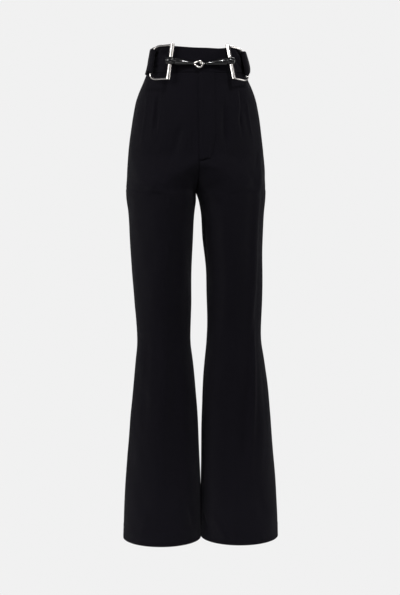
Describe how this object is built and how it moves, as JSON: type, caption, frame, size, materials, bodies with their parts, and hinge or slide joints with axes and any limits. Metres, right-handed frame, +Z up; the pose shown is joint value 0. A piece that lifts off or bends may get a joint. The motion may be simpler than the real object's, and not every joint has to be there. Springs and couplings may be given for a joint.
{
  "type": "flared trousers",
  "caption": "High-waisted flared trousers, filled out with no wearer, with a belt band held by two dee rings and closed across the front by a jointed bit.",
  "frame": {"origin": "middle of the waist opening, level with the top edge of the waistband, where the wearer's waist holds the garment", "axes": "+Z up, from the hems to the waist; -Y the way the front faces; +X the wearer's left side"},
  "size_m": [0.3762, 0.2456, 1.1768],
  "materials": {
    "cloth": "matte black crepe with a fine nap",
    "belt_cloth": "matte black cloth, doubled",
    "steel": "polished bright nickel",
    "black_gloss": "glossy black"
  },
  "bodies": {
    "root": {"front_panel_right": "cloth", "front_panel_left": "cloth", "back_panel_right": "cloth", "back_panel_left": "cloth", "pocket_bearer_right": "cloth", "pocket_bearer_left": "cloth", "fly_lap": "cloth", "waistband_front_right": "cloth", "waistband_front_left": "cloth", "waistband_back_right": "cloth", "waistband_back_left": "cloth", "belt_band": "belt_cloth", "dee_ring_right": "steel", "dee_ring_left": "steel", "bit_arm_right": "black_gloss", "bit_arm_left": "black_gloss", "bit_ring": "steel", "bit_eye": "steel"}
  },
  "joints": []
}
